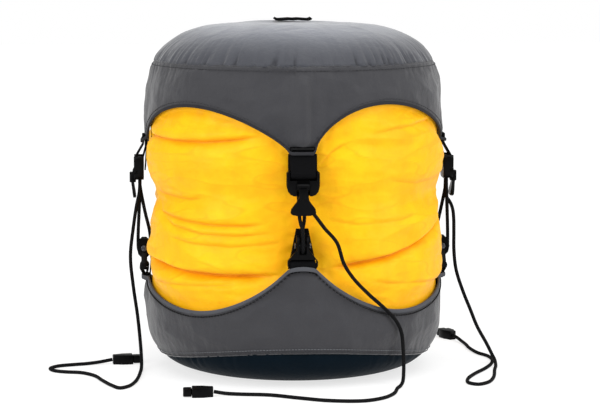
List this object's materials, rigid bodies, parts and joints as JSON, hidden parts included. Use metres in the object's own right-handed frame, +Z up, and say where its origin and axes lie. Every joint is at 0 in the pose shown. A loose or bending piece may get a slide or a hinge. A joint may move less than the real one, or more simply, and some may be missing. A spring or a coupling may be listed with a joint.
{
  "type": "compression stuff sack",
  "caption": "Drum-shaped stuff sack squeezed between a scalloped cap and cup by cord lines with tensioners and pulley blocks.",
  "frame": {"origin": "middle of the flat base, on the floor", "axes": "+Z up the sack; -Y out through the tightest line, which is the front"},
  "size_m": [0.3804, 0.3049, 0.2959],
  "materials": {
    "shell_fabric": "charcoal nylon, faint crinkle",
    "crown_fabric": "blue-grey coated nylon, gathered at its seam",
    "base_fabric": "navy coated nylon, slight gloss",
    "sack_fabric": "golden yellow thin nylon with soft folds",
    "binding": "woven edge binding",
    "webbing": "ribbed black webbing",
    "black_plastic": "moulded black acetal",
    "cord": "braided black cord",
    "spring_steel": "spring wire",
    "rivet_steel": "blackened rivet"
  },
  "bodies": {
    "root": {"base_disc": "base_fabric", "cup_band": "shell_fabric", "cup_binding": "binding", "sack_body": "sack_fabric", "pulley_block_front": "black_plastic", "pulley_axle_front": "rivet_steel", "pulley_webbing_front": "webbing", "running_cord_front": "cord", "pulley_block_right": "black_plastic", "pulley_axle_right": "rivet_steel", "pulley_webbing_right": "webbing", "running_cord_right": "cord", "pulley_block_back": "black_plastic", "pulley_axle_back": "rivet_steel", "pulley_webbing_back": "webbing", "running_cord_back": "cord", "pulley_block_left": "black_plastic", "pulley_axle_left": "rivet_steel", "pulley_webbing_left": "webbing", "running_cord_left": "cord", "free_tail_front": "cord", "cord_end_front": "black_plastic", "cord_end_plug_front": "black_plastic", "free_tail_left": "cord", "cord_end_left": "black_plastic", "cord_end_plug_left": "black_plastic", "free_tail_right": "cord", "cord_end_right": "black_plastic", "cord_end_plug_right": "black_plastic"},
    "cap": {"cap_crown": "crown_fabric", "cap_band": "shell_fabric", "cap_binding": "binding", "grab_loop": "webbing", "mouth_collar": "sack_fabric", "mouth_drawcord": "cord", "cord_lock_body": "black_plastic", "cord_lock_spring": "spring_steel", "tensioner_webbing_front": "webbing", "tensioner_body_front": "black_plastic", "lever_pin_front": "black_plastic", "tensioner_webbing_right": "webbing", "tensioner_body_right": "black_plastic", "lever_pin_right": "black_plastic", "tensioner_webbing_back": "webbing", "tensioner_body_back": "black_plastic", "lever_pin_back": "black_plastic", "tensioner_webbing_left": "webbing", "tensioner_body_left": "black_plastic", "lever_pin_left": "black_plastic"},
    "cord_lock_button": {"cord_lock_button": "black_plastic"},
    "thumb_lever_front": {"thumb_lever_front": "black_plastic"},
    "pulley_wheel_front": {"pulley_wheel_front": "black_plastic"},
    "thumb_lever_right": {"thumb_lever_right": "black_plastic"},
    "pulley_wheel_right": {"pulley_wheel_right": "black_plastic"},
    "thumb_lever_back": {"thumb_lever_back": "black_plastic"},
    "pulley_wheel_back": {"pulley_wheel_back": "black_plastic"},
    "thumb_lever_left": {"thumb_lever_left": "black_plastic"},
    "pulley_wheel_left": {"pulley_wheel_left": "black_plastic"}
  },
  "joints": [
    {"name": "cap_slide", "type": "slide", "parent": "root", "child": "cap", "axis": [0, 0, 1], "range_m": [-0.01, 0.06], "deforming": ["sack_body", "running_cord_front", "running_cord_right", "running_cord_back", "running_cord_left", "free_tail_front", "free_tail_left", "free_tail_right"]},
    {"name": "cord_lock_press", "type": "slide", "parent": "cap", "child": "cord_lock_button", "axis": [0, 0, -1], "range_m": [0, 0.003], "stiffness_N_per_m": 600, "deforming": ["cord_lock_spring"]},
    {"name": "thumb_lever_front_lift", "type": "hinge", "parent": "cap", "child": "thumb_lever_front", "pos_m": [0, -0.133, 0.1665], "axis": [-1, 0, 0], "range_deg": [0, 45]},
    {"name": "pulley_wheel_front_spin", "type": "hinge", "parent": "root", "child": "pulley_wheel_front", "pos_m": [0, -0.127, 0.119], "axis": [1, 0, 0], "continuous": true},
    {"name": "thumb_lever_right_lift", "type": "hinge", "parent": "cap", "child": "thumb_lever_right", "pos_m": [0.133, 0, 0.1665], "axis": [0, -1, 0], "range_deg": [0, 45]},
    {"name": "pulley_wheel_right_spin", "type": "hinge", "parent": "root", "child": "pulley_wheel_right", "pos_m": [0.127, 0, 0.101], "axis": [0, 1, 0], "continuous": true},
    {"name": "thumb_lever_back_lift", "type": "hinge", "parent": "cap", "child": "thumb_lever_back", "pos_m": [0, 0.133, 0.1665], "axis": [1, 0, 0], "range_deg": [0, 45]},
    {"name": "pulley_wheel_back_spin", "type": "hinge", "parent": "root", "child": "pulley_wheel_back", "pos_m": [0, 0.127, 0.101], "axis": [-1, 0, 0], "continuous": true},
    {"name": "thumb_lever_left_lift", "type": "hinge", "parent": "cap", "child": "thumb_lever_left", "pos_m": [-0.133, 0, 0.1665], "axis": [0, 1, 0], "range_deg": [0, 45]},
    {"name": "pulley_wheel_left_spin", "type": "hinge", "parent": "root", "child": "pulley_wheel_left", "pos_m": [-0.127, 0, 0.101], "axis": [0, -1, 0], "continuous": true}
  ]
}
